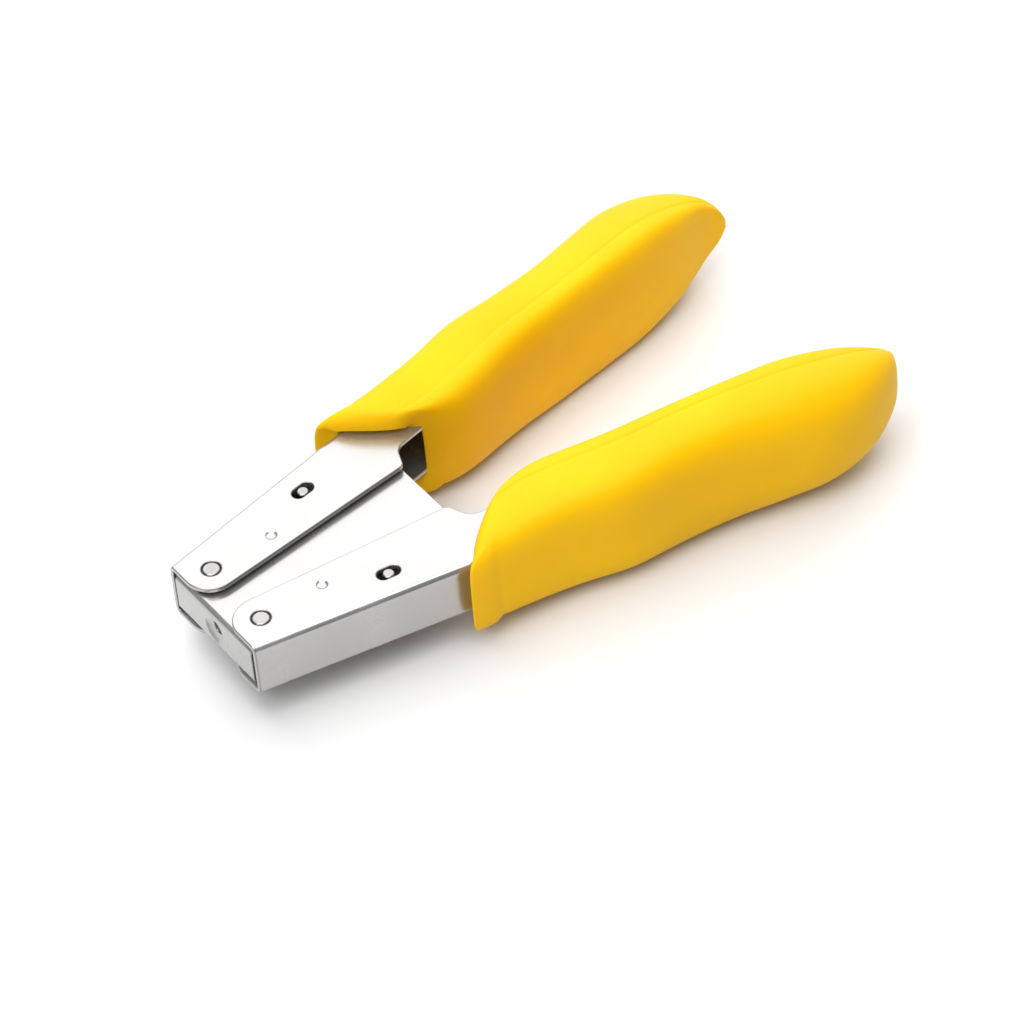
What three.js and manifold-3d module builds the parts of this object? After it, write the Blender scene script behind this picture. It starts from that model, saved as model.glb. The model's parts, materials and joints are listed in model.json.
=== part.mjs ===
// Hand squeeze staple gun: two U-channel handles with moulded grips, hinged at the front of a folded frame.
// Squeezing the handles turns two bell-crank levers, whose toes push a driver rod out through the nose.
//
// Sizes are in millimetres. While the parts are built, Y runs rearwards from the nose plate's outer face,
// X to the right with the tool's middle at 0, and Z up from the underside of the handle channels.
// The last lines move the whole tool so that its origin is the bottom centre of its bounding box.
import * as THREE from 'three';
import { mergeVertices } from 'three/addons/utils/BufferGeometryUtils.js';
import Module from 'manifold-3d';

const wasm = await Module();
wasm.setup();

// ---------------------------------------------------------------- driving dimensions
const SHEET = 1.2; // stainless sheet of the channels and the frame
const BEND_RADIUS = 1.7; // outside of every fold
const CHANNEL_HEIGHT = 14.5;
const MID_Z = CHANNEL_HEIGHT / 2;
const PLATE_GAP = 0.7; // between a handle's flange and the frame's plate beside it
const RUNNING_GAP = 0.25; // round a pin that turns
const PRESS_GAP = 0.05; // round a pin that is fixed
const FACE_GAP = 0.12; // between faces that slide on each other
const SLEEVE_GAP = 0.2; // between a channel and the grip over it
const PAST = 1; // how far a cutter runs past the face it cuts

const degrees = THREE.MathUtils.degToRad;
const WALL_ANGLE = degrees(11); // outer wall of an open handle, from +Y
const EDGE_ANGLE = degrees(5.6); // inner edge of its flanges, from +Y
const PIVOT = new THREE.Vector2(9.5, 6.5);
const PIVOT_RADIUS = 2;
const FRONT_CORNER = new THREE.Vector2(16.4, 0.12);
const FLANGE_END_RADIUS = 6.5;
const FLANGE_END_OFFSET = 0.3; // of the round end's centre, outboard of the pivot
const NECK_START = 57; // where the flanges step back to the narrow neck
const NECK_STEP = 2.2; // length of that step along Y
const NECK_WIDTH = 13.9;
const TANG_END = 90; // rear end of the channel, inside the grip
const DIMPLE = new THREE.Vector2(9.66, 22.4);
const DIMPLE_RADIUS = 1.75;
const DIMPLE_DEPTH = 0.4;

const FRAME_HALF_WIDTH = 14.6;
const FRAME_LENGTH = 57;
const FRAME_TOP = CHANNEL_HEIGHT - SHEET - PLATE_GAP;
const FRAME_BOTTOM = SHEET + PLATE_GAP;
const ROOM_TOP = FRAME_TOP - SHEET;
const ROOM_BOTTOM = FRAME_BOTTOM + SHEET;
const REAR_POST = new THREE.Vector2(11.2, 50.5);
const REAR_POST_RADIUS = 1.5;

const LEVER_PIN = new THREE.Vector2(11.8, 27.5);
const LEVER_PIN_RADIUS = 1.3;
const LEVER_TURN = degrees(27.86); // of a lever over the whole squeeze
const LEVER_THICKNESS = 5;
const TOE_REACH = 9.3; // from the lever's pin to the middle of its toe
const TOE_RADIUS = 2;
const DRIVE_PIN = new THREE.Vector2(16.23, 35.4);
const DRIVE_PIN_RADIUS = 1.35;
const DRIVE_PIN_INSET = 0.15; // its ends, below the flanges' outer faces
const DRIVE_SLOT = { length: 5.6, width: 3.2, angle: degrees(8.5) };
const FRAME_NOTCH = { x: 11.4, y: 35.8, radius: 2.6 }; // round end of the frame's clearance for the drive pin

const NOSE_HOLE_RADIUS = 1.5;
const DISH_RADIUS = 3.5;
const DISH_FLOOR_RADIUS = 2;
const DISH_DEPTH = 1;
const BUSHING_RADIUS = 3.9;
const BUSHING_END = 10.4;
const ROD_RADIUS = 1.2;
const ROD_TIP = 1.5;
const HEAD_LENGTH = 5;
const HEAD_HALF_WIDTH = 4.3;
const HEAD_BORE_DEPTH = 3.6;
const SPRING = { radius: 2.5, wire: 0.35, turns: 6.5, steps: 78 };

// Plan of the right grip from mouth to tail: the side facing the other handle, the outer side, and the tip.
const GRIP_INNER = [[15.4, 67.3], [12.9, 73], [12.8, 80], [16.2, 94], [18.6, 108], [20.7, 121], [22.8, 135],
  [26, 148], [29.8, 158.5]];
const GRIP_OUTER = [[29.4, 47.4], [29.9, 60], [31.8, 74], [35.2, 87], [36.2, 100], [38.1, 113], [41.6, 126],
  [44.3, 138], [43, 149.5], [37.2, 160]];
const GRIP_TIP = [30.3, 164.7];
const GRIP_HALF_HEIGHTS = [12.8, 14.2, 15.3, 15.8, 15.7, 15.2, 14.9]; // at even steps, before the tail closes
const GRIP_LIP_RADIUS = 2.2; // of the rounded mouth
const GRIP_LIP_RINGS = 3;
const GRIP_MOUTH_BOW = 2; // how far the mouth bows forward between its two sides
const GRIP_BOW_END = 0.25; // part of the length where the bow has died out
const GRIP_TAIL_START = 0.68; // part of the length where the tail begins to close
const GRIP_TAIL_POWER = 1.8; // how late the tail closes
const GRIP_TAIL_END = 0.14; // part of the height left at the tip
const GRIP_CROWN = 0.32; // where a section is highest, from its inner side (0) to its outer side (1)
// Powers of a section's superellipse at the mouth and at the tail. A lower power is squarer.
const GRIP_OUTER_POWERS = [0.45, 0.7];
const GRIP_INNER_POWERS = [0.56, 0.51];
const GRIP_POWER_SPAN = [0.15, 0.8]; // parts of the length between which they change
const GRIP_STATIONS = 23;
const GRIP_CROWDING = 1.2; // how much the stations crowd at the mouth
const GRIP_SIDES = 28;

// ---------------------------------------------------------------- materials
const steel = new THREE.MeshStandardMaterial({ color: 0xdcdcde, roughness: 0.16, metalness: 1 });
const pinSteel = new THREE.MeshStandardMaterial({ color: 0xc8c8ca, roughness: 0.3, metalness: 1 });
const hardSteel = new THREE.MeshStandardMaterial({ color: 0x8f9296, roughness: 0.35, metalness: 1 });
const springSteel = new THREE.MeshStandardMaterial({ color: 0xa7a9ad, roughness: 0.25, metalness: 1 });
const brass = new THREE.MeshStandardMaterial({ color: 0xc9a24b, roughness: 0.3, metalness: 1 });
const yellowPlastic = new THREE.MeshStandardMaterial({ color: 0xffd21a, roughness: 0.5, metalness: 0 });

// ---------------------------------------------------------------- solids from three.js geometry
function solidOf(geometry) {
  const bare = geometry.clone();
  bare.deleteAttribute('normal');
  bare.deleteAttribute('uv');
  const merged = mergeVertices(bare);
  const mesh = new wasm.Mesh({
    numProp: 3,
    vertProperties: merged.attributes.position.array,
    triVerts: new Uint32Array(merged.index.array),
  });
  return new wasm.Manifold(mesh);
}

function meshOf(solid, name, material) {
  const data = solid.getMesh();
  const geometry = new THREE.BufferGeometry();
  geometry.setAttribute('position', new THREE.BufferAttribute(data.vertProperties, 3));
  geometry.setIndex(new THREE.BufferAttribute(data.triVerts, 1));
  geometry.computeVertexNormals();
  const mesh = new THREE.Mesh(geometry, material);
  mesh.name = name;
  return mesh;
}

// The same piece for the tool's left side: X is reversed and each triangle is turned to face out again.
function mirrored(solid) {
  const { numProp, vertProperties, triVerts } = solid.getMesh();
  for (let i = 0; i < vertProperties.length; i += numProp) vertProperties[i] *= -1;
  for (let i = 0; i < triVerts.length; i += 3) {
    const first = triVerts[i];
    triVerts[i] = triVerts[i + 1];
    triVerts[i + 1] = first;
  }
  return new wasm.Manifold(new wasm.Mesh({ numProp, vertProperties, triVerts }));
}

function prism(shape, bottom, top, curveSegments = 8) {
  const depth = top - bottom;
  const geometry = new THREE.ExtrudeGeometry(shape, { depth, bevelEnabled: false, curveSegments });
  return solidOf(geometry.translate(0, 0, bottom));
}

function box(x0, x1, y0, y1, z0, z1) {
  const geometry = new THREE.BoxGeometry(x1 - x0, y1 - y0, z1 - z0);
  return solidOf(geometry.translate((x0 + x1) / 2, (y0 + y1) / 2, (z0 + z1) / 2));
}

function upright(radius, at, bottom, top, segments = 24) {
  const geometry = new THREE.CylinderGeometry(radius, radius, top - bottom, segments);
  return solidOf(geometry.rotateX(Math.PI / 2).translate(at.x, at.y, (top + bottom) / 2));
}

// A drill through the whole height of the tool.
function drill(radius, at) {
  return upright(radius, at, -PAST, CHANNEL_HEIGHT + PAST);
}

// Turned parts, from a profile of [radius, distance along the axis].
function turned(profile, segments = 24) {
  return new THREE.LatheGeometry(profile.map((point) => new THREE.Vector2(...point)), segments);
}

function turnedAlongY(profile) {
  return solidOf(turned(profile, 28).translate(0, 0, MID_Z));
}

function turnedUpright(profile, at) {
  return solidOf(turned(profile).rotateX(Math.PI / 2).translate(at.x, at.y, 0));
}

// ---------------------------------------------------------------- plan geometry
function along(start, angle, distance) {
  return new THREE.Vector2(start.x + distance * Math.sin(angle), start.y + distance * Math.cos(angle));
}

// Where the line through start at an angle from +Y reaches Y = y.
function crossing(start, angle, y) {
  return along(start, angle, (y - start.y) / Math.cos(angle));
}

// Takes a shape's outline past a corner, on a curve that starts and ends 'reach' from it.
function roundCorner(shape, before, corner, after, reach) {
  const start = before.clone().sub(corner).setLength(reach).add(corner);
  const end = after.clone().sub(corner).setLength(reach).add(corner);
  shape.lineTo(start.x, start.y);
  shape.quadraticCurveTo(corner.x, corner.y, end.x, end.y);
}

// The rear corners of the channel's tang, square to the outer wall.
function tangCorners() {
  const outer = crossing(FRONT_CORNER, WALL_ANGLE, TANG_END);
  const inner = along(outer, WALL_ANGLE - Math.PI / 2, NECK_WIDTH);
  return { inner, outer };
}

// Right handle's flanges: straight along the wall, round at the front and stepped at the neck.
function flangeShape() {
  const endCentre = new THREE.Vector2(PIVOT.x + FLANGE_END_OFFSET, FRONT_CORNER.y + FLANGE_END_RADIUS);
  const edgeStart = along(endCentre, EDGE_ANGLE - Math.PI / 2, FLANGE_END_RADIUS);
  const { inner, outer } = tangCorners();
  const neck = crossing(inner, WALL_ANGLE, NECK_START + NECK_STEP);
  const step = crossing(edgeStart, EDGE_ANGLE, NECK_START);
  const shape = new THREE.Shape();
  shape.moveTo(FRONT_CORNER.x, FRONT_CORNER.y);
  roundCorner(shape, FRONT_CORNER, outer, inner, 4);
  roundCorner(shape, outer, inner, neck, 4);
  roundCorner(shape, inner, neck, step, 2.2);
  roundCorner(shape, neck, step, edgeStart, 1.1);
  shape.lineTo(edgeStart.x, edgeStart.y);
  shape.absarc(endCentre.x, endCentre.y, FLANGE_END_RADIUS, Math.PI - EDGE_ANGLE, 1.5 * Math.PI, false);
  shape.closePath();
  return shape;
}

function slotShape({ length, width, angle }, centre) {
  const radius = width / 2;
  const heading = Math.PI / 2 - angle;
  const front = along(centre, angle, radius - length / 2);
  const rear = along(centre, angle, length / 2 - radius);
  const shape = new THREE.Shape();
  shape.absarc(rear.x, rear.y, radius, heading - Math.PI / 2, heading + Math.PI / 2, false);
  shape.absarc(front.x, front.y, radius, heading + Math.PI / 2, heading + 1.5 * Math.PI, false);
  shape.closePath();
  return shape;
}

// ---------------------------------------------------------------- handle channel
// A long bar inboard of a line 'inset' from the outer wall, its outboard edges rounded as folds.
function wallBar(inset) {
  const reach = 60;
  const length = 200;
  const radius = BEND_RADIUS - inset;
  const bottom = inset;
  const top = CHANNEL_HEIGHT - inset;
  const section = new THREE.Shape();
  section.moveTo(-reach, bottom);
  section.lineTo(-inset - radius, bottom);
  section.absarc(-inset - radius, bottom + radius, radius, -Math.PI / 2, 0, false);
  section.absarc(-inset - radius, top - radius, radius, 0, Math.PI / 2, false);
  section.lineTo(-reach, top);
  section.closePath();
  const bar = new THREE.ExtrudeGeometry(section, { depth: length, bevelEnabled: false, curveSegments: 4 });
  bar.translate(0, 0, -0.75 * length).rotateX(Math.PI / 2).rotateZ(-WALL_ANGLE);
  return solidOf(bar.translate(FRONT_CORNER.x, FRONT_CORNER.y, 0));
}

// The ball that presses a dimple into the upper (side 1) or lower (side -1) flange, 'below' its outer face.
function dimpleBall(side, below) {
  const radius = (DIMPLE_RADIUS ** 2 + DIMPLE_DEPTH ** 2) / (2 * DIMPLE_DEPTH);
  const face = side > 0 ? CHANNEL_HEIGHT : 0;
  const middle = face + side * (radius - DIMPLE_DEPTH - below);
  const ball = new THREE.SphereGeometry(radius, 18, 20).rotateX(Math.PI / 2);
  return solidOf(ball.translate(DIMPLE.x, DIMPLE.y, middle));
}

function handleChannel() {
  const plan = prism(flangeShape(), 0, CHANNEL_HEIGHT);
  let channel = plan.intersect(wallBar(0)).subtract(wallBar(SHEET));
  for (const side of [1, -1]) {
    const flange = side > 0 ? [CHANNEL_HEIGHT - SHEET - PAST, CHANNEL_HEIGHT] : [0, SHEET + PAST];
    const bump = dimpleBall(side, SHEET).intersect(upright(DIMPLE_RADIUS, DIMPLE, ...flange));
    channel = channel.add(bump).subtract(dimpleBall(side, 0));
  }
  return channel
    .subtract(drill(PIVOT_RADIUS + RUNNING_GAP, PIVOT))
    .subtract(prism(slotShape(DRIVE_SLOT, DRIVE_PIN), -PAST, CHANNEL_HEIGHT + PAST, 6));
}

// ---------------------------------------------------------------- grip
function splineThrough(points) {
  return new THREE.SplineCurve(points.map(([x, y]) => new THREE.Vector2(x, y)));
}

const gripHeights = splineThrough(GRIP_HALF_HEIGHTS.map((height, i) => [i, height]));

// Half height at a part t of the grip's length: it swells from the mouth, then closes as a blunt tail.
function gripHalfHeight(t) {
  const tail = Math.max(0, (t - GRIP_TAIL_START) / (1 - GRIP_TAIL_START));
  return gripHeights.getPoint(t).y * Math.max(GRIP_TAIL_END, Math.sqrt(1 - tail ** GRIP_TAIL_POWER));
}

// One cross section, tighter on the side that faces the other handle and rounder on the outer side.
// inset shrinks it for the rounded lip of the mouth, but not at the inner side, where the mouth is sharp.
function gripRing(inner, outer, t, inset = 0) {
  const crown = inner.clone().lerp(outer, GRIP_CROWN);
  const width = inner.distanceTo(outer);
  const outward = outer.clone().sub(inner).normalize();
  const forward = new THREE.Vector2(outward.y, -outward.x).multiplyScalar(GRIP_MOUTH_BOW);
  forward.multiplyScalar(Math.max(0, 1 - t / GRIP_BOW_END) ** 2);
  const halfHeight = gripHalfHeight(t);
  const toTail = THREE.MathUtils.smoothstep(t, ...GRIP_POWER_SPAN);
  const ring = [];
  for (let i = 0; i < GRIP_SIDES; i++) {
    const turn = (2 * Math.PI * i) / GRIP_SIDES;
    const isOuter = Math.cos(turn) > 0;
    const power = THREE.MathUtils.lerp(...(isOuter ? GRIP_OUTER_POWERS : GRIP_INNER_POWERS), toTail);
    const across = Math.sign(Math.cos(turn)) * Math.abs(Math.cos(turn)) ** power;
    const up = Math.sign(Math.sin(turn)) * Math.abs(Math.sin(turn)) ** power;
    const lip = inset * THREE.MathUtils.smoothstep(across, -1, -0.3);
    const reach = (width * (isOuter ? 1 - GRIP_CROWN : GRIP_CROWN) - lip) * across;
    const bow = 1 - across ** 2;
    ring.push(new THREE.Vector3(
      crown.x + outward.x * reach + forward.x * bow,
      crown.y + outward.y * reach + forward.y * bow,
      MID_Z + (halfHeight - lip) * up,
    ));
  }
  return ring;
}

// A closed body through a row of rings, closed at each end by a fan.
function loft(rings) {
  const sides = rings[0].length;
  const points = rings.flat();
  const last = points.length - sides;
  const faces = [];
  for (let i = 0; i < sides; i++) {
    const next = (i + 1) % sides;
    for (let base = 0; base < last; base += sides) {
      faces.push(base + i, base + sides + i, base + next);
      faces.push(base + next, base + sides + i, base + sides + next);
    }
    faces.push(points.length, i, next);
    faces.push(points.length + 1, last + next, last + i);
  }
  const ends = [rings[0], rings.at(-1)].map((ring) => {
    const middle = new THREE.Vector3();
    for (const point of ring) middle.addScaledVector(point, 1 / sides);
    return middle;
  });
  return solidOf(new THREE.BufferGeometry().setFromPoints([...points, ...ends]).setIndex(faces));
}

// The space that the channel's tang takes up in the grip, open at the mouth.
function tangHollow() {
  const { inner, outer } = tangCorners();
  const innerSide = along(inner, WALL_ANGLE - Math.PI / 2, SLEEVE_GAP);
  const outerSide = along(outer, WALL_ANGLE + Math.PI / 2, SLEEVE_GAP);
  const shape = new THREE.Shape([
    along(outerSide, WALL_ANGLE, SLEEVE_GAP),
    along(innerSide, WALL_ANGLE, SLEEVE_GAP),
    along(innerSide, WALL_ANGLE, -TANG_END),
    along(outerSide, WALL_ANGLE, -TANG_END),
  ]);
  return prism(shape, -SLEEVE_GAP, CHANNEL_HEIGHT + SLEEVE_GAP);
}

function grip() {
  const inner = splineThrough([...GRIP_INNER, GRIP_TIP]);
  const outer = splineThrough([...GRIP_OUTER, GRIP_TIP]);
  const lipEnd = GRIP_LIP_RADIUS / inner.getLength();
  const rings = [];
  for (let i = 0; i < GRIP_LIP_RINGS; i++) {
    const turn = (i / GRIP_LIP_RINGS) * (Math.PI / 2);
    const t = lipEnd * (1 - Math.cos(turn));
    rings.push(gripRing(inner.getPointAt(t), outer.getPointAt(t), t, GRIP_LIP_RADIUS * (1 - Math.sin(turn))));
  }
  for (let i = 0; i < GRIP_STATIONS; i++) {
    // Stations also crowd towards the tail, where the outline turns fastest.
    const t = lipEnd + (1 - lipEnd) * Math.sin((i / GRIP_STATIONS) * (Math.PI / 2)) ** GRIP_CROWDING;
    rings.push(gripRing(inner.getPointAt(t), outer.getPointAt(t), t));
  }
  return loft(rings).subtract(tangHollow());
}

// ---------------------------------------------------------------- frame and nose
// The folded strip's outline from the side, 'inset' from its outer faces, as wide as asked.
function foldedBlock(inset, rear, width) {
  const radius = BEND_RADIUS - inset;
  const top = FRAME_TOP - inset;
  const bottom = FRAME_BOTTOM + inset;
  const side = new THREE.Shape();
  side.moveTo(rear, bottom);
  side.lineTo(rear, top);
  side.absarc(inset + radius, top - radius, radius, Math.PI / 2, Math.PI, false);
  side.absarc(inset + radius, bottom + radius, radius, Math.PI, 1.5 * Math.PI, false);
  side.closePath();
  const geometry = new THREE.ExtrudeGeometry(side, { depth: width, bevelEnabled: false, curveSegments: 4 });
  return solidOf(geometry.translate(0, 0, -width / 2).rotateX(Math.PI / 2).rotateZ(Math.PI / 2));
}

function frameShell() {
  const outside = foldedBlock(0, FRAME_LENGTH, 2 * FRAME_HALF_WIDTH);
  const room = foldedBlock(SHEET, FRAME_LENGTH + PAST, 2 * (FRAME_HALF_WIDTH + PAST));
  const dishRear = SHEET + DISH_DEPTH;
  const dishBack = turnedAlongY([
    [0, SHEET / 2], [DISH_RADIUS, SHEET / 2], [DISH_RADIUS, SHEET],
    [DISH_FLOOR_RADIUS, dishRear], [0, dishRear],
  ]);
  const dishFront = turnedAlongY([
    [0, -PAST], [DISH_RADIUS + PAST, -PAST], [DISH_RADIUS, 0], [DISH_FLOOR_RADIUS, DISH_DEPTH],
    [NOSE_HOLE_RADIUS, DISH_DEPTH], [NOSE_HOLE_RADIUS, dishRear + PAST], [0, dishRear + PAST],
  ]);
  let shell = outside.subtract(room).add(dishBack).subtract(dishFront);
  const holes = [[PIVOT, PIVOT_RADIUS], [LEVER_PIN, LEVER_PIN_RADIUS], [REAR_POST, REAR_POST_RADIUS]];
  const { x, y, radius: notchRadius } = FRAME_NOTCH;
  for (const side of [1, -1]) {
    for (const [at, radius] of holes) {
      shell = shell.subtract(drill(radius + PRESS_GAP, { x: side * at.x, y: at.y }));
    }
    const [left, right] = side > 0 ? [x, FRAME_HALF_WIDTH + PAST] : [-FRAME_HALF_WIDTH - PAST, -x];
    shell = shell
      .subtract(drill(notchRadius, { x: side * x, y }))
      .subtract(box(left, right, y - notchRadius, y + notchRadius, -PAST, CHANNEL_HEIGHT + PAST));
  }
  return shell;
}

function noseBushing() {
  const start = SHEET + DISH_DEPTH + 0.3;
  const chamfer = 0.6;
  return turnedAlongY([
    [NOSE_HOLE_RADIUS, start], [BUSHING_RADIUS, start], [BUSHING_RADIUS, BUSHING_END - chamfer],
    [BUSHING_RADIUS - chamfer, BUSHING_END], [NOSE_HOLE_RADIUS, BUSHING_END], [NOSE_HOLE_RADIUS, start],
  ]);
}

// ---------------------------------------------------------------- driver
const toe = along(LEVER_PIN, LEVER_TURN / 2 - Math.PI / 2, TOE_REACH);
const headRear = toe.y - TOE_RADIUS - FACE_GAP;
const headFront = headRear - HEAD_LENGTH;
const boreEnd = headFront + HEAD_BORE_DEPTH;

function driverRod() {
  const point = 0.5;
  const shoulder = ROD_TIP + 0.9;
  return turnedAlongY([
    [0, ROD_TIP], [point, ROD_TIP], [ROD_RADIUS, shoulder], [ROD_RADIUS, boreEnd], [0, boreEnd],
  ]);
}

function driverHead() {
  const seatRadius = SPRING.radius - SPRING.wire - FACE_GAP;
  const seatFront = headFront - 1.2;
  const bore = ROD_RADIUS + PRESS_GAP;
  const rear = boreEnd + PRESS_GAP;
  const bottom = ROOM_BOTTOM + FACE_GAP;
  const top = ROOM_TOP - FACE_GAP;
  const cylinder = (radius, front, back) => turnedAlongY([
    [0, front], [radius, front], [radius, back], [0, back],
  ]);
  return box(-HEAD_HALF_WIDTH, HEAD_HALF_WIDTH, headFront, headRear, bottom, top)
    .add(cylinder(seatRadius, seatFront, headFront + PAST))
    .subtract(cylinder(bore, seatFront - PAST, rear));
}

// The wire's centre line along Y, with the end turns lying almost flat on their seats.
class CoilPath extends THREE.Curve {
  constructor(start, end) {
    super();
    this.start = start;
    this.end = end;
  }

  getPoint(t, target = new THREE.Vector3()) {
    const flatShare = 0.9 / SPRING.turns;
    const flatPitch = 2.4 * SPRING.wire;
    const stretch = this.end - this.start - 2 * flatPitch;
    const y = this.start
      + flatPitch * Math.min(t / flatShare, 1)
      + stretch * THREE.MathUtils.clamp((t - flatShare) / (1 - 2 * flatShare), 0, 1)
      + flatPitch * Math.max((t - 1 + flatShare) / flatShare, 0);
    const turn = 2 * Math.PI * SPRING.turns * t;
    return target.set(SPRING.radius * Math.cos(turn), y, MID_Z + SPRING.radius * Math.sin(turn));
  }
}

function returnSpring() {
  const wire = new THREE.Shape().absarc(0, 0, SPRING.wire, 0, 2 * Math.PI, false);
  const room = SPRING.wire + FACE_GAP;
  const extrudePath = new CoilPath(BUSHING_END + room, headFront - room);
  return solidOf(new THREE.ExtrudeGeometry(wire, { extrudePath, steps: SPRING.steps, curveSegments: 3 }));
}

// ---------------------------------------------------------------- levers, pins and washers
// A tapering arm between two points of a plan, with its half width at each.
function arm(from, fromHalf, to, toHalf, bottom, top) {
  const across = to.clone().sub(from).normalize().rotateAround(new THREE.Vector2(), Math.PI / 2);
  const ends = [[from, fromHalf], [from, -fromHalf], [to, -toHalf], [to, toHalf]];
  const corners = ends.map(([at, half]) => at.clone().addScaledVector(across, half));
  return prism(new THREE.Shape(corners), bottom, top);
}

function lever() {
  const toeArm = { atHub: 2, atToe: 1.2 };
  const driveArm = { atHub: 2.4, atBoss: 2.2 };
  const low = MID_Z - LEVER_THICKNESS / 2;
  const high = MID_Z + LEVER_THICKNESS / 2;
  const hubRadius = 2.9;
  const bossRadius = 2.6;
  return upright(hubRadius, LEVER_PIN, ROOM_BOTTOM + FACE_GAP, ROOM_TOP - FACE_GAP)
    .add(arm(LEVER_PIN, toeArm.atHub, toe, toeArm.atToe, low, high))
    .add(upright(TOE_RADIUS, toe, low, high))
    .add(arm(LEVER_PIN, driveArm.atHub, DRIVE_PIN, driveArm.atBoss, low, high))
    .add(upright(bossRadius, DRIVE_PIN, low, high))
    .subtract(drill(LEVER_PIN_RADIUS + RUNNING_GAP, LEVER_PIN))
    .subtract(drill(DRIVE_PIN_RADIUS + PRESS_GAP, DRIVE_PIN));
}

function pin(radius, at, bottom, top) {
  const chamfer = 0.25;
  return turnedUpright([
    [0, bottom], [radius - chamfer, bottom], [radius, bottom + chamfer],
    [radius, top - chamfer], [radius - chamfer, top], [0, top],
  ], at);
}

function ring(bore, radius, at, bottom, top) {
  return turnedUpright([[bore, bottom], [radius, bottom], [radius, top], [bore, top], [bore, bottom]], at);
}

// A post with a collar that keeps the frame's plates apart, riveted flush at both ends.
function rearPost() {
  const radius = REAR_POST_RADIUS;
  const collar = 2.6;
  const low = ROOM_BOTTOM + PRESS_GAP;
  const high = ROOM_TOP - PRESS_GAP;
  return turnedUpright([
    [0, FRAME_BOTTOM], [radius, FRAME_BOTTOM], [radius, low], [collar, low],
    [collar, high], [radius, high], [radius, FRAME_TOP], [0, FRAME_TOP],
  ], REAR_POST);
}

// ---------------------------------------------------------------- assembly
const tool = new THREE.Group();

function addPiece(name, material, solid) {
  tool.add(meshOf(solid, name, material));
}

function addPair(name, material, solid) {
  addPiece(`right_${name}`, material, solid);
  addPiece(`left_${name}`, material, mirrored(solid));
}

addPiece('frame_shell', steel, frameShell());
addPiece('nose_bushing', brass, noseBushing());
addPiece('driver_rod', hardSteel, driverRod());
addPiece('driver_head', hardSteel, driverHead());
addPiece('return_spring', springSteel, returnSpring());

const pivotBore = PIVOT_RADIUS + PRESS_GAP;
const spacerRadius = 3.2;
const washerRadius = 4.2;
const washerGap = 0.1;

addPair('handle_channel', steel, handleChannel());
addPair('grip', yellowPlastic, grip());
addPair('pivot_pin', pinSteel, pin(PIVOT_RADIUS, PIVOT, 0, CHANNEL_HEIGHT));
addPair('pivot_spacer', pinSteel,
  ring(pivotBore, spacerRadius, PIVOT, ROOM_BOTTOM + PRESS_GAP, ROOM_TOP - PRESS_GAP));
addPair('upper_washer', brass,
  ring(pivotBore, washerRadius, PIVOT, FRAME_TOP + washerGap, FRAME_TOP + PLATE_GAP - washerGap));
addPair('lower_washer', brass,
  ring(pivotBore, washerRadius, PIVOT, SHEET + washerGap, FRAME_BOTTOM - washerGap));
addPair('rear_post', pinSteel, rearPost());
addPair('lever', hardSteel, lever());
addPair('lever_pin', pinSteel, pin(LEVER_PIN_RADIUS, LEVER_PIN, FRAME_BOTTOM, FRAME_TOP));
addPair('drive_pin', pinSteel,
  pin(DRIVE_PIN_RADIUS, DRIVE_PIN, DRIVE_PIN_INSET, CHANNEL_HEIGHT - DRIVE_PIN_INSET));

const bounds = new THREE.Box3().setFromObject(tool);
const middle = bounds.getCenter(new THREE.Vector3());
tool.position.set(-middle.x, -middle.y, -bounds.min.z);

export default tool;
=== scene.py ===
"""Looks for the hand squeeze staple gun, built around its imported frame.

Blender works in metres. The shapes here are worked out in millimetres, in the tool's own coordinates:
X to the right from the middle, Y rearwards from the nose plate and Z up from the underside of the channels.
"""

import json
import math

import bmesh
import bpy
import numpy as np
from mathutils import Matrix, Vector


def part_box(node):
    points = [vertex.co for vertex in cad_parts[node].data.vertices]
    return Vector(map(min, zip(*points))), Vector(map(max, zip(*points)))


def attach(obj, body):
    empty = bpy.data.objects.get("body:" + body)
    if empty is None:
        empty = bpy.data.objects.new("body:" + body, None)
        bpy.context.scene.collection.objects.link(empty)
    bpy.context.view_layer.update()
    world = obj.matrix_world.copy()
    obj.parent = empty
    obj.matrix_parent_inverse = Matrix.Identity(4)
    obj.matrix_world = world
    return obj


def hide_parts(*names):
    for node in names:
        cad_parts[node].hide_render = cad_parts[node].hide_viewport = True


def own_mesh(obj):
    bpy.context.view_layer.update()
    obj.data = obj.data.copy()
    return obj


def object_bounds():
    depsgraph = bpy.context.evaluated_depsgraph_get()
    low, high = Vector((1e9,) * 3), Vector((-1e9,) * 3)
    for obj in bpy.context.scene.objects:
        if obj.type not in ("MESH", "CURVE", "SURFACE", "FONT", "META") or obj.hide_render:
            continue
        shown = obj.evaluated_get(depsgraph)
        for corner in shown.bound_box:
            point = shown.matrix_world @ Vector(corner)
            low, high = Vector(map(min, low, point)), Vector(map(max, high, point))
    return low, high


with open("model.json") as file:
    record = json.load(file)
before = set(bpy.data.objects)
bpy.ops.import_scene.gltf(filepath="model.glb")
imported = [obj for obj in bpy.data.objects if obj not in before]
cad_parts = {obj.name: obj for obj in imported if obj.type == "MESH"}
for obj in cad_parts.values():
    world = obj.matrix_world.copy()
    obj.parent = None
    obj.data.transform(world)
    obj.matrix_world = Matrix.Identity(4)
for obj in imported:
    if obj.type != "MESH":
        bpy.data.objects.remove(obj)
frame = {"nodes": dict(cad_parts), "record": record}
cad_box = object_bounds()

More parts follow.
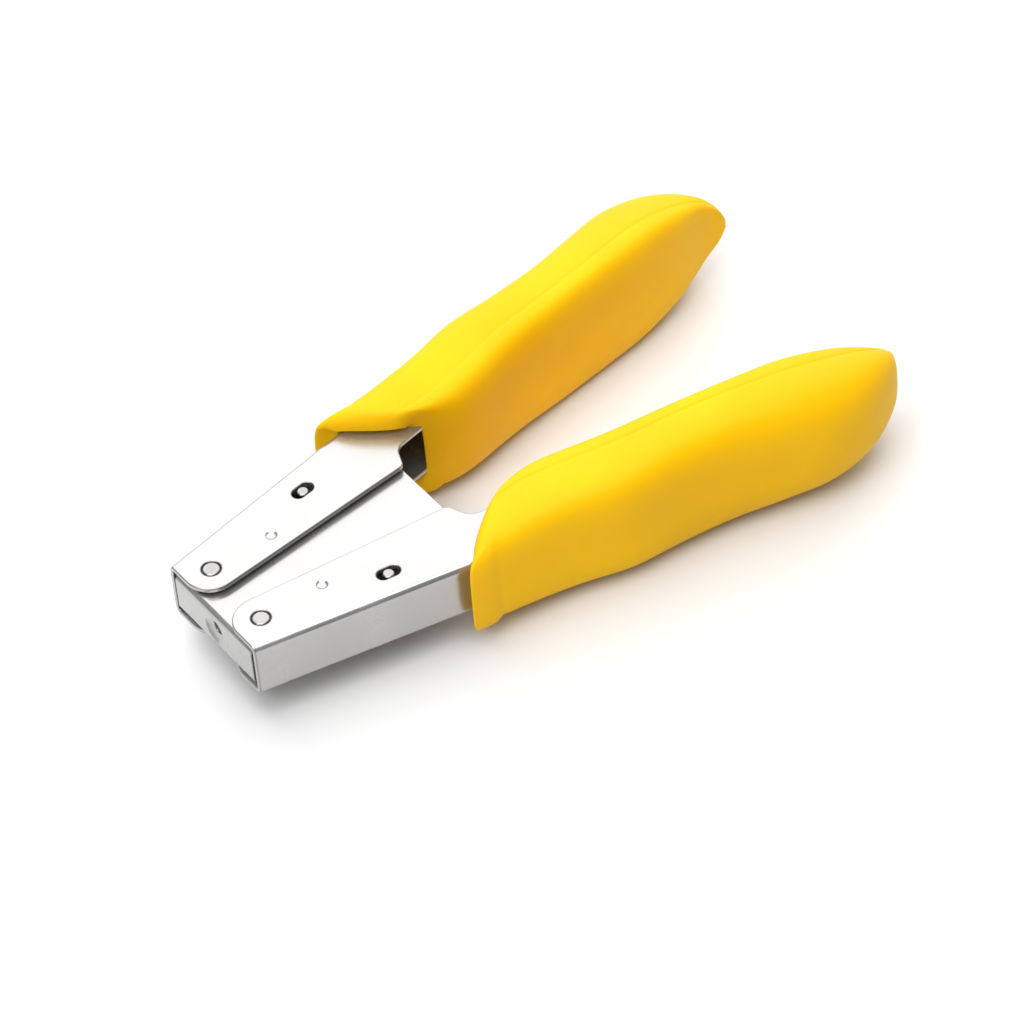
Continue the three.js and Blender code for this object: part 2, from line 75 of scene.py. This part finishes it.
# ---------------------------------------------------------------- dimensions
MM = 0.001
ORIGIN = np.array([0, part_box("frame_shell")[0].y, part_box("right_handle_channel")[0].z])
CHANNEL_HEIGHT = 14.5
MID_Z = CHANNEL_HEIGHT / 2
WALL_ANGLE = math.radians(11)  # outer wall of an open handle, from +Y
FRONT_CORNER = (16.4, 0.12)
NECK_WIDTH = 13.9
BEND_RADIUS = 1.7
OPEN_EDGE_RADIUS = 0.3  # of the pocket's corners on the channel's open side

# Plan of the right grip from mouth to tail: the side facing the other handle, the outer side, and the tip.
GRIP_INNER = [
    (15.4, 67.3), (12.9, 73), (12.8, 80), (16.2, 94), (18.6, 108), (20.7, 121), (22.8, 135), (26, 148),
    (29.8, 158.5),
]
GRIP_OUTER = [
    (29.4, 47.4), (29.9, 60), (31.8, 74), (35.2, 87), (36.2, 100), (38.1, 113), (41.6, 126), (44.3, 138),
    (43, 149.5), (37.2, 160),
]
GRIP_TIP = (30.3, 164.52)
GRIP_LENGTH = 112
GRIP_HALF_HEIGHTS = [12.8, 14.2, 15.3, 15.8, 15.7, 15.2, 14.9]  # at even steps, before the tail closes
TAIL_START = 0.68  # part of the length where the tail begins to close
TAIL_POWER = 1.8
TAIL_END = 0.012  # least value of the closing term, so the tip keeps a little height
CROWN = 0.32  # where a section is highest, from its inner side (0) to its outer side (1)
MOUTH_BOW = 2.0  # how far the mouth bows forward between its sides
BOW_END = 0.25
OUTER_POWERS = (0.45, 0.7)  # superellipse powers at the mouth and at the tail
INNER_POWERS = (0.56, 0.51)
POWER_SPAN = (0.15, 0.8)
LIP_RADIUS = 4.2  # of the rolled edge of the mouth, above and below
OUTER_LIP_SHARE = 0.28  # of that radius, at the outer side
SLEEVE_GAP = 0.1  # round the steel at the mouth
LIP_STEPS = 8
LIP_START = 0.7  # how far out, on the inner side, the lip reaches its full radius
OUTER_LIP_SPAN = (0.6, 0.95)  # cosines between which the lip tightens to its outer share
MOUTH_SHARES = (0.3, 0.6, 0.85)  # rings of the mouth's face, from the steel to the lip
MOUTH_DISH = 0.35  # how deep that face is dished
# Where the pocket round the steel passes the steel's outer wall and its open side, from deep to shallow.
POCKET = ((84, 93), (70, 84), (58, 74), (53.6, 69.4), (51.9, 67.4))
SEAM_DEPTH = 0.2
SEAM_WIDTH = 0.4
SEAM_SPAN = (0.02, 0.05)  # parts of the length between which the seam comes up
SEAM_CLEAR = 0.012  # least turn between the seam's own rows and the even rows
SEAM_TURNS = (-0.045, -0.018, -0.006, -0.0015, 0.0, 0.0015, 0.006, 0.018, 0.045)
RIDGE_HEIGHT = 0.7  # of the flared rim round the mouth
RIDGE_WIDTH = 1.9
RIDGE_START = 0.9
CREASE_DEPTH = 0.22  # of the shallow valley behind the rim
CREASE_WIDTH = 1.1
SECTION_POINTS = 104
SPLINE_STEPS = 40  # for each span of a plan curve
MOUTH_PART = 0.075  # part of the length near the mouth that has close rings
MOUTH_RINGS = 13
BODY_RINGS = 78
FIRST_RING = 0.004  # part of the length of the first ring behind the lip

DIMPLE = (9.66, 22.4)
DIMPLE_RADIUS = 1.75
DIMPLE_DEPTH = 0.7
DIMPLE_WALL = 0.7  # width of its sloping wall
DIMPLE_MARGIN = 0.05  # inside its rim, so that the flange's own vertices stay
DIMPLE_BAND = (-0.5, -0.02)  # heights of its vertices in the CAD, from the flange's face

CREASE_ANGLE = math.radians(38)  # faces that meet at more than this are shaded apart
SHARP_ANGLE = math.radians(35)  # edges that are sharper than this get rounded
FLAT_ANGLE = math.radians(0.4)  # faces that meet at less than this are merged
ROUNDING_SEGMENTS = 3
# The width of a rounded edge, where it isn't the usual one.
EDGE_SOFTENING = {"frame_shell": 0.2, "handle_channel": 0.28}
USUAL_SOFTENING = 0.08

SPRING_RADIUS = 2.5
SPRING_WIRE = 0.35
SPRING_TURNS = 6.5
FLAT_TURNS = 0.9  # turns at each end of the coil that lie almost flat
FLAT_CLIMB = 0.09  # share of the coil's length that these turns climb
COIL_STEPS = 260
WIRE_SIDES = 14


# ---------------------------------------------------------------- small helpers
def to_world(points):
    """Points in the tool's own millimetres, in the frame's metres."""
    return np.asarray(points, float) * MM + ORIGIN


def smoothstep(x, start, end):
    t = np.clip((x - start) / (end - start), 0, 1)
    return t * t * (3 - 2 * t)


def lerp(a, b, t):
    return a + (b - a) * t


def bell(x, width):
    """A smooth bump of height 1, centred on 0."""
    return np.exp(-((x / width) ** 2))


def new_piece(name, points, faces, body, material, stands_for):
    mesh = bpy.data.meshes.new(name)
    mesh.from_pydata([tuple(p) for p in points], [], faces)
    mesh.validate()
    piece = bpy.data.objects.new(name, mesh)
    bpy.context.scene.collection.objects.link(piece)
    finish_piece(piece, body, material, stands_for)
    return piece


def finish_piece(piece, body, material, stands_for):
    """Gives a piece its material, shading and body, and hides the CAD nodes it stands for."""
    piece.data.materials.clear()
    piece.data.materials.append(material)
    piece.data.polygons.foreach_set("use_smooth", [True] * len(piece.data.polygons))
    piece.data.set_sharp_from_angle(angle=CREASE_ANGLE)
    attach(piece, body)
    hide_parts(*stands_for)


# ---------------------------------------------------------------- materials
class Nodes:
    """A material's node tree, with its Principled shader."""

    def __init__(self, name, **sockets):
        self.material = bpy.data.materials.new(name)
        self.material.use_nodes = True
        self.tree = self.material.node_tree
        self.shader = self.tree.nodes["Principled BSDF"]
        for socket, value in sockets.items():
            self.shader.inputs[socket.replace("_", " ")].default_value = value
        self.place = self.tree.nodes.new("ShaderNodeTexCoord").outputs["Object"]

    def link(self, source, target):
        self.tree.links.new(source, target)

    def stretched(self, scale, turn=0.0):
        """Object coordinates turned about Z and scaled along each axis."""
        node = self.tree.nodes.new("ShaderNodeMapping")
        node.inputs["Rotation"].default_value = (0, 0, turn)
        node.inputs["Scale"].default_value = scale
        self.link(self.place, node.inputs["Vector"])
        return node.outputs["Vector"]

    def noise(self, scale, detail=4.0, roughness=0.5, vector=None):
        node = self.tree.nodes.new("ShaderNodeTexNoise")
        node.inputs["Scale"].default_value = scale
        node.inputs["Detail"].default_value = detail
        node.inputs["Roughness"].default_value = roughness
        self.link(vector or self.place, node.inputs["Vector"])
        return node.outputs["Fac"]

    def remap(self, value, low, high, to_low, to_high):
        node = self.tree.nodes.new("ShaderNodeMapRange")
        node.interpolation_type = "SMOOTHSTEP"
        for socket, number in zip(("From Min", "From Max", "To Min", "To Max"), (low, high, to_low, to_high)):
            node.inputs[socket].default_value = number
        self.link(value, node.inputs["Value"])
        return node.outputs["Result"]

    def math(self, operation, first, second):
        node = self.tree.nodes.new("ShaderNodeMath")
        node.operation = operation
        for socket, value in zip(node.inputs, (first, second)):
            if isinstance(value, (int, float)):
                socket.default_value = value
            else:
                self.link(value, socket)
        return node.outputs["Value"]

    def blend(self, factor, low, high):
        """A colour between two, by a factor. Each is a colour or a socket."""
        node = self.tree.nodes.new("ShaderNodeMix")
        node.data_type = "RGBA"
        self.link(factor, node.inputs["Factor"])
        for socket, value in ((node.inputs[6], low), (node.inputs[7], high)):
            if isinstance(value, (tuple, list)):
                socket.default_value = (*value, 1)
            else:
                self.link(value, socket)
        return node.outputs[2]

    def bump(self, height, strength, distance):
        node = self.tree.nodes.new("ShaderNodeBump")
        node.inputs["Strength"].default_value = strength
        node.inputs["Distance"].default_value = distance
        self.link(height, node.inputs["Height"])
        self.link(node.outputs["Normal"], self.shader.inputs["Normal"])

    def attribute(self, name):
        node = self.tree.nodes.new("ShaderNodeAttribute")
        node.attribute_name = name
        return node.outputs["Fac"]

    def edges(self):
        """How far a place is on an outward edge: about 0.5 on a flat and more on an edge."""
        return self.tree.nodes.new("ShaderNodeNewGeometry").outputs["Pointiness"]


ROUNDED = "rounded_edge"  # face attribute of a piece's rounded edges, 1 on them and 0 elsewhere
STEEL_METALLIC = 0.85  # below 1, for the haze that fine scratches leave on polished sheet


def steel_material(name, colour, roughness):
    """Polished sheet: fine rolling lines and soft smears, and painted shade on its rounded edges, which get a
    darker colour.
    """
    n = Nodes(name, Metallic=STEEL_METALLIC)
    lines = n.noise(1.0, 6, 0.65, n.stretched((9000, 120, 9000)))
    smears = n.noise(70, 3, 0.5)
    tint = n.blend(n.remap(smears, 0.35, 0.7, 0, 1), tuple(c * 0.94 for c in colour), colour)
    # Painted shade: the rounded edges are darkened to draw the thin dark outline that shade and dark
    # reflections leave along the sheet's edges.
    painted_edge_shade = n.blend(n.attribute(ROUNDED), tint, tuple(c * 0.62 for c in colour))
    n.link(painted_edge_shade, n.shader.inputs["Base Color"])
    smeared = n.remap(smears, 0.3, 0.75, roughness * 0.8, roughness * 1.35)
    rough = n.math("ADD", smeared, n.math("MULTIPLY", lines, 0.06))
    n.link(rough, n.shader.inputs["Roughness"])
    n.bump(lines, 0.07, 0.00002)
    return n.material


def turned_material(name, colour, roughness):
    """Turned or hardened metal with a fine even texture and darker patches."""
    n = Nodes(name, Metallic=1.0)
    patches = n.noise(260, 4, 0.6)
    fine = n.noise(5200, 3, 0.6)
    tint = n.blend(n.remap(patches, 0.35, 0.7, 0, 1), tuple(c * 0.86 for c in colour), colour)
    n.link(tint, n.shader.inputs["Base Color"])
    n.link(n.remap(patches, 0.3, 0.7, roughness * 0.8, roughness * 1.3), n.shader.inputs["Roughness"])
    n.bump(fine, 0.15, 0.00003)
    return n.material


def grip_material():
    """Soft satin plastic: slight colour drift, a fine moulded texture, scuffs and smudges, and painted shade
    that darkens its creases and hollows.
    """
    n = Nodes("yellow_grip", Metallic=0.0, IOR=1.46)
    drift = n.noise(38, 3, 0.5)
    cloud = n.noise(9, 2, 0.5)
    texture = n.noise(2600, 3, 0.55)
    scuffs = n.noise(1.0, 4, 0.6, n.stretched((220, 90, 220), 0.3))
    scuff = n.remap(scuffs, 0.62, 0.74, 0.0, 1.0)
    base = n.blend(n.remap(drift, 0.3, 0.7, 0, 1), (0.84, 0.468, 0.001), (0.88, 0.515, 0.002))
    base = n.blend(n.remap(cloud, 0.4, 0.75, 0, 0.35), base, (0.86, 0.425, 0.004))
    # Painted shade: where the skin curves inward, in the crease behind the rim, in the seam and in the
    # mouth's dish, the colour turns a darker orange.
    base = n.blend(n.remap(n.edges(), 0.40, 0.49, 0.35, 0.0), base, (0.62, 0.27, 0.005))
    n.link(base, n.shader.inputs["Base Color"])
    rough = n.math("ADD", n.remap(drift, 0.3, 0.7, 0.40, 0.50), n.math("MULTIPLY", scuff, 0.08))
    n.link(rough, n.shader.inputs["Roughness"])
    n.bump(texture, 0.10, 0.00003)
    n.shader.inputs["Specular IOR Level"].default_value = 0.13
    n.shader.inputs["Subsurface Weight"].default_value = 0.08
    n.shader.inputs["Subsurface Radius"].default_value = (0.004, 0.002, 0.0005)
    n.shader.inputs["Subsurface Scale"].default_value = 0.5
    return n.material


def floor_material():
    """Matt white studio floor with a faint paper tooth."""
    n = Nodes("pale_floor", Roughness=0.75)
    tone = n.noise(14, 3, 0.5)
    n.link(n.blend(tone, (0.70, 0.70, 0.70), (0.72, 0.72, 0.72)), n.shader.inputs["Base Color"])
    n.bump(n.noise(900, 3, 0.6), 0.05, 0.0001)
    n.shader.inputs["Specular IOR Level"].default_value = 0.2
    return n.material


POLISHED = steel_material("polished_steel", (0.50, 0.495, 0.49), 0.21)
PIN_STEEL = turned_material("pin_steel", (0.39, 0.383, 0.38), 0.26)
HARD_STEEL = turned_material("hard_steel", (0.30, 0.305, 0.31), 0.34)
SPRING_STEEL = turned_material("spring_steel", (0.42, 0.42, 0.43), 0.22)
BRASS = turned_material("brass", (0.72, 0.50, 0.20), 0.26)
YELLOW = grip_material()


# ---------------------------------------------------------------- grips
def catmull_rom(points, place):
    """A point on the smooth curve through points, where whole numbers fall on the points."""
    spans = len(points) - 1
    i = min(int(place), spans - 1)
    w = place - i
    before, a, b, after = (points[min(max(i + step, 0), spans)] for step in (-1, 0, 1, 2))
    slope_a = (b - before) / 2
    slope_b = (after - a) / 2
    cubic = 2 * a - 2 * b + slope_a + slope_b
    square = 3 * b - 3 * a - 2 * slope_a - slope_b
    return cubic * w**3 + square * w**2 + slope_a * w + a


def spline_through(points):
    """The smooth curve through points, as a function of the part of its length."""
    points = np.array(points, float)
    samples = np.array([catmull_rom(points, k / SPLINE_STEPS)
                        for k in range(SPLINE_STEPS * (len(points) - 1) + 1)])
    length = np.concatenate([[0], np.cumsum(np.linalg.norm(np.diff(samples, axis=0), axis=1))])
    length /= length[-1]

    def at(part):
        return np.array([np.interp(part, length, samples[:, 0]), np.interp(part, length, samples[:, 1])])

    return at


inner_side = spline_through([*GRIP_INNER, GRIP_TIP])
outer_side = spline_through([*GRIP_OUTER, GRIP_TIP])


def half_height(t):
    """Half the grip's height at a part t of its length."""
    tail = max(0.0, (t - TAIL_START) / (1 - TAIL_START))
    height = catmull_rom(GRIP_HALF_HEIGHTS, t * (len(GRIP_HALF_HEIGHTS) - 1))
    return height * math.sqrt(max(TAIL_END, 1 - tail**TAIL_POWER))


def section_turns():
    """Turns round a section, closer together beside the moulding seam along the top and the bottom."""
    even = np.linspace(0, 2 * math.pi, SECTION_POINTS, endpoint=False)
    seam = [sign * math.pi / 2 + offset for sign in (1, 3) for offset in SEAM_TURNS]
    kept = [a for a in even if min(abs(a - s) for s in seam) > SEAM_CLEAR]
    return np.array(sorted([*kept, *seam]))


TURNS = section_turns()


def lip_shares():
    """How much of the lip's radius each place has: none at the inner side, where the mouth stays sharp."""
    cos = np.cos(TURNS)
    across = np.sign(cos) * np.abs(cos) ** INNER_POWERS[0]
    outer = smoothstep(cos, *OUTER_LIP_SPAN)
    return smoothstep(across, -1, -LIP_START) * lerp(1, OUTER_LIP_SHARE, outer)


LIP_SHARES = lip_shares()


def grip_section(t, inset=0.0, ridge=0.0):
    """The grip's outline at a part t of its length, as an array of points."""
    inner, outer = inner_side(t), outer_side(t)
    crown = lerp(inner, outer, CROWN)
    width = np.linalg.norm(outer - inner)
    along = (outer - inner) / width
    forward = np.array([along[1], -along[0]]) * MOUTH_BOW * max(0, 1 - t / BOW_END) ** 2
    to_tail = smoothstep(t, *POWER_SPAN)
    cos, sin = np.cos(TURNS), np.sin(TURNS)
    is_outer = cos > 0
    power = np.where(is_outer, lerp(*OUTER_POWERS, to_tail), lerp(*INNER_POWERS, to_tail))
    across = np.sign(cos) * np.abs(cos) ** power
    up = np.sign(sin) * np.abs(sin) ** power
    lip = inset * LIP_SHARES
    # The rim stands proud below and on the outer side, and dies out over the top.
    proud = ridge * np.clip(0.45 - 0.75 * sin + 0.45 * cos, 0, 1)
    reach = width * np.where(is_outer, 1 - CROWN, CROWN) - lip * across**2 + proud
    seam = SEAM_DEPTH * bell(across * reach, SEAM_WIDTH) * smoothstep(t, *SEAM_SPAN)
    plan = crown + np.outer(reach * across, along) + np.outer(1 - across**2, forward)
    return np.column_stack([plan, MID_Z + (half_height(t) - lip + proud - seam) * up])


def tang_line(across_wall):
    """A point on and the direction of the line that runs along the channel, inboard of its outer wall."""
    direction = np.array([math.sin(WALL_ANGLE), math.cos(WALL_ANGLE)])
    inboard = np.array([-direction[1], direction[0]])
    return np.array(FRONT_CORNER) + inboard * across_wall, direction


def steel_section(outer_y, inner_y, shape):
    """The channel's outline, plus a small gap, in the upright plane through two points of its sides.

    Each point lies in the direction of its twin in 'shape', seen from the middle of the channel.
    """
    far, direction = tang_line(-SLEEVE_GAP)
    near, _ = tang_line(NECK_WIDTH + SLEEVE_GAP)
    outer = far + direction * (outer_y - far[1]) / direction[1]
    inner = near + direction * (inner_y - near[1]) / direction[1]
    centre = (inner + outer) / 2
    half = (outer - inner) / 2
    width = np.linalg.norm(half)
    along = half / width
    height = MID_Z + SLEEVE_GAP
    points = []
    for point in shape:
        a = float((point[:2] - centre) @ along)
        z = point[2] - MID_Z
        scale = 1 / max(abs(a) / width, abs(z) / height, 1e-9)
        a, z = a * scale, z * scale
        radius = BEND_RADIUS if a > 0 else OPEN_EDGE_RADIUS
        over = np.array([abs(a) - (width - radius), abs(z) - (height - radius)])
        if over.min() > 0:
            over *= radius / max(np.linalg.norm(over), radius)
            a = math.copysign(width - radius + over[0], a)
            z = math.copysign(height - radius + over[1], z)
        points.append([*(centre + along * a), MID_Z + z])
    return np.array(points)


def grip_rings():
    """The grip's skin as rings, from deep in the pocket, round the mouth and back to the tail."""
    lip_part = LIP_RADIUS / GRIP_LENGTH
    outline = grip_section(0, LIP_RADIUS, RIDGE_HEIGHT)
    rings = [steel_section(*place, outline) for place in POCKET]
    border = rings[-1]
    direction = tang_line(0)[1]
    # The face of the mouth, dished between the steel and the rolled edge.
    for share in MOUTH_SHARES:
        face = lerp(border, outline, share)
        face[:, :2] += direction * MOUTH_DISH * math.sin(math.pi * share)
        rings.append(face)
    for i in range(LIP_STEPS + 1):
        turn = i / LIP_STEPS * math.pi / 2
        inset = LIP_RADIUS * (1 - math.sin(turn))
        start, end = (grip_section(t, inset, RIDGE_HEIGHT) for t in (0, lip_part))
        rings.append(lerp(start, end, (LIP_SHARES * (1 - math.cos(turn)))[:, None]))
    near_mouth = np.linspace(FIRST_RING, MOUTH_PART, MOUTH_RINGS)
    to_tip = MOUTH_PART + (1 - MOUTH_PART) * np.sin(np.linspace(0, math.pi / 2, BODY_RINGS))
    for part in (*near_mouth, *to_tip[1:-1]):
        t = lip_part + (1 - lip_part) * part
        distance = part * GRIP_LENGTH
        ridge = RIDGE_HEIGHT * (1 - smoothstep(distance, RIDGE_START, RIDGE_WIDTH + 1))
        crease = CREASE_DEPTH * bell(distance - RIDGE_WIDTH - 1, CREASE_WIDTH)
        rings.append(grip_section(t, 0, ridge - crease))
    return rings


def close_rings(rings):
    """Vertices and faces of a closed skin through a row of rings, with a fan at each end."""
    count = len(rings[0])
    points = np.concatenate([*rings, [rings[0].mean(axis=0)], [rings[-1].mean(axis=0)]])
    faces = []
    for r in range(len(rings) - 1):
        base = r * count
        for i in range(count):
            j = (i + 1) % count
            faces.append((base + i, base + j, base + count + j, base + count + i))
    last = (len(rings) - 1) * count
    for i in range(count):
        j = (i + 1) % count
        faces.append((len(points) - 2, j, i))
        faces.append((len(points) - 1, last + i, last + j))
    return points, faces


def make_grips():
    points, faces = close_rings(grip_rings())
    for side, sign in (("right", 1), ("left", -1)):
        placed = points * (sign, 1, 1)
        turned = faces if sign > 0 else [tuple(reversed(face)) for face in faces]
        name = f"{side}_grip"
        new_piece(f"{name}_skin", to_world(placed), turned, f"{side}_handle", YELLOW, (name,))


# ---------------------------------------------------------------- metal pieces
def body_of(node):
    for body, nodes in frame["record"]["behaviour"]["bodies"].items():
        if node in nodes:
            return body


def deepen_dimples(bm):
    """Makes the pressed dimples of the flanges' outer faces deeper."""
    for vertex in bm.verts:
        x, y, z = (np.array(vertex.co) - ORIGIN) / MM
        out = math.hypot(abs(x) - DIMPLE[0], y - DIMPLE[1])
        above = abs(z - MID_Z) - MID_Z
        if out < DIMPLE_RADIUS - DIMPLE_MARGIN and DIMPLE_BAND[0] < above < DIMPLE_BAND[1]:
            depth = DIMPLE_DEPTH * min(1, (DIMPLE_RADIUS - out) / DIMPLE_WALL)
            vertex.co.z = ORIGIN[2] + (MID_Z + math.copysign(MID_Z - depth, z - MID_Z)) * MM


def soften(node, material, width):
    """A copy of a node with its sharp edges rounded, standing for that node."""
    mesh = frame["nodes"][node].data.copy()
    bm = bmesh.new()
    bm.from_mesh(mesh)
    bmesh.ops.remove_doubles(bm, verts=bm.verts, dist=1e-7)
    bmesh.ops.dissolve_limit(bm, angle_limit=FLAT_ANGLE, verts=bm.verts, edges=bm.edges)
    sharp = [e for e in bm.edges if e.is_manifold and e.calc_face_angle(0) > SHARP_ANGLE]
    rounded = bm.faces.layers.float.new(ROUNDED)
    strips = bmesh.ops.bevel(bm, geom=sharp, offset=width * MM, offset_type="OFFSET",
                             segments=ROUNDING_SEGMENTS, profile=0.6, affect="EDGES",
                             clamp_overlap=False, harden_normals=False)
    for face in strips["faces"]:
        face[rounded] = 1.0
    deepen_dimples(bm)
    bm.normal_update()
    bm.to_mesh(mesh)
    bm.free()
    piece = bpy.data.objects.new(f"{node}_skin", mesh)
    bpy.context.scene.collection.objects.link(piece)
    finish_piece(piece, body_of(node), material, (node,))
    weighted = piece.modifiers.new("flat_faces", "WEIGHTED_NORMAL")
    weighted.keep_sharp = True
    weighted.weight = 80


METAL_LOOKS = {
    "frame_shell": POLISHED,
    "handle_channel": POLISHED,
    "nose_bushing": BRASS,
    "driver_rod": HARD_STEEL,
    "driver_head": HARD_STEEL,
    "pivot_pin": PIN_STEEL,
    "pivot_spacer": PIN_STEEL,
    "upper_washer": BRASS,
    "lower_washer": BRASS,
    "rear_post": PIN_STEEL,
    "lever": HARD_STEEL,
    "lever_pin": PIN_STEEL,
    "drive_pin": PIN_STEEL,
}


def make_metal():
    for part in frame["record"]["subparts"]:
        kind = part["node"].removeprefix("right_").removeprefix("left_")
        if kind in METAL_LOOKS:
            width = EDGE_SOFTENING.get(kind, USUAL_SOFTENING)
            soften(part["node"], METAL_LOOKS[kind], width)


def make_spring():
    """The coil round the driver rod, built once at the length of the CAD's coil. The real one shortens
    towards the bushing as the driver moves out.
    """
    low, high = (value + SPRING_WIRE * way for value, way in zip(spring_span(), (1, -1)))
    turn_marks = (0, FLAT_TURNS, SPRING_TURNS - FLAT_TURNS, SPRING_TURNS)
    climb_marks = (0, FLAT_CLIMB, 1 - FLAT_CLIMB, 1)
    points = []
    for k in range(COIL_STEPS + 1):
        turns = SPRING_TURNS * k / COIL_STEPS
        climb = np.interp(turns, turn_marks, climb_marks)
        angle = 2 * math.pi * turns
        out = np.array([math.cos(angle), 0, math.sin(angle)])
        for i in range(WIRE_SIDES):
            a = 2 * math.pi * i / WIRE_SIDES
            centre = np.array([0, lerp(low, high, climb), MID_Z])
            points.append(centre + out * (SPRING_RADIUS + SPRING_WIRE * math.cos(a))
                          + np.array([0, SPRING_WIRE * math.sin(a), 0]))
    rings = np.array(points).reshape(COIL_STEPS + 1, WIRE_SIDES, 3)
    points, faces = close_rings(list(rings))
    spring = new_piece("return_coil", to_world(points), faces, "frame", SPRING_STEEL,
                       ("return_spring",))
    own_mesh(spring)


def spring_span():
    """Where the coil of the CAD starts and ends, along the tool."""
    low, high = (corner.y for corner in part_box("return_spring"))
    return (low - ORIGIN[1]) / MM, (high - ORIGIN[1]) / MM


# ---------------------------------------------------------------- studio
FLOOR = 6  # half the floor's width, in metres
FLOOR_GAP = 0.0002  # between the floor and the tool, in metres
SKY_BRIGHT_SIDE = (-0.84, 0.54, 0.35)
SKY_SPAN = (0.30, 0.85)  # where it starts and ends to brighten, from its dark side (0) to its bright side (1)
SKY_GREYS = (0.5, 0.85)
SKY_STRENGTH = 0.47


def make_camera():
    azimuth, elevation, roll = 0.9962, 0.7945, -0.0899  # radians
    distance = 1.09827
    target = Vector(to_world((13.19, 70.38, 7.6)))
    back = Vector((math.sin(azimuth) * math.cos(elevation), -math.cos(azimuth) * math.cos(elevation),
                   math.sin(elevation)))
    right = Vector((math.cos(azimuth), math.sin(azimuth), 0))
    up = back.cross(right)
    rolled_right = right * math.cos(roll) + up * math.sin(roll)
    rolled_up = up * math.cos(roll) - right * math.sin(roll)
    camera = bpy.data.objects.new("camera", bpy.data.cameras.new("camera"))
    camera.data.sensor_width = 36
    camera.data.lens = 175.8
    camera.data.clip_end = 10
    camera.matrix_world = Matrix.Translation(target + back * distance) @ Matrix(
        (rolled_right, rolled_up, back)).transposed().to_4x4()
    bpy.context.scene.collection.objects.link(camera)
    bpy.context.scene.camera = camera


def area_light(name, place, aim, size, power):
    light = bpy.data.lights.new(name, "AREA")
    light.shape = "RECTANGLE"
    light.size, light.size_y = size
    light.energy = power
    lamp = bpy.data.objects.new(name, light)
    lamp.location = place
    lamp.rotation_euler = (Vector(aim) - Vector(place)).to_track_quat("-Z", "Y").to_euler()
    bpy.context.scene.collection.objects.link(lamp)


def make_floor():
    corners = [(-FLOOR, -FLOOR, 0), (FLOOR, -FLOOR, 0), (FLOOR, FLOOR, 0), (-FLOOR, FLOOR, 0)]
    floor_mesh = bpy.data.meshes.new("floor")
    floor_mesh.from_pydata(corners, [], [(0, 1, 2, 3)])
    floor = bpy.data.objects.new("floor", floor_mesh)
    floor.data.materials.append(floor_material())
    bpy.context.scene.collection.objects.link(floor)
    floor.location.z = cad_box[0].z - FLOOR_GAP


def make_lights():
    area_light("key", (-0.60, 0.42, 0.74), (0, 0.02, 0), (1.5, 1.5), 12.5)
    area_light("overhead", (0.20, -0.30, 1.05), (0, 0, 0), (1.0, 1.0), 12.5)
    area_light("near_fill", (0.22, -0.80, 0.65), (0, 0, 0), (0.6, 0.6), 1.6)


def make_sky():
    """A grey surround that is brighter on one side."""
    world = bpy.data.worlds.new("studio")
    world.use_nodes = True
    nodes, links = world.node_tree.nodes, world.node_tree.links
    background = nodes["Background"]
    direction = nodes.new("ShaderNodeTexCoord").outputs["Generated"]
    away = nodes.new("ShaderNodeVectorMath")
    away.operation = "DOT_PRODUCT"
    away.inputs[1].default_value = SKY_BRIGHT_SIDE
    links.new(direction, away.inputs[0])
    ramp = nodes.new("ShaderNodeValToRGB")
    for element, position, grey in zip(ramp.color_ramp.elements, SKY_SPAN, SKY_GREYS):
        element.position = position
        element.color = (grey, grey, grey, 1)
    shift = nodes.new("ShaderNodeMath")
    shift.operation = "MULTIPLY_ADD"
    shift.inputs[1].default_value = 0.5
    shift.inputs[2].default_value = 0.5
    links.new(away.outputs["Value"], shift.inputs[0])
    links.new(shift.outputs["Value"], ramp.inputs["Fac"])
    links.new(ramp.outputs["Color"], background.inputs["Color"])
    background.inputs["Strength"].default_value = SKY_STRENGTH
    bpy.context.scene.world = world
    bpy.context.scene.view_settings.view_transform = "Standard"


make_camera()
make_floor()
make_lights()
make_sky()
make_grips()
make_metal()
make_spring()
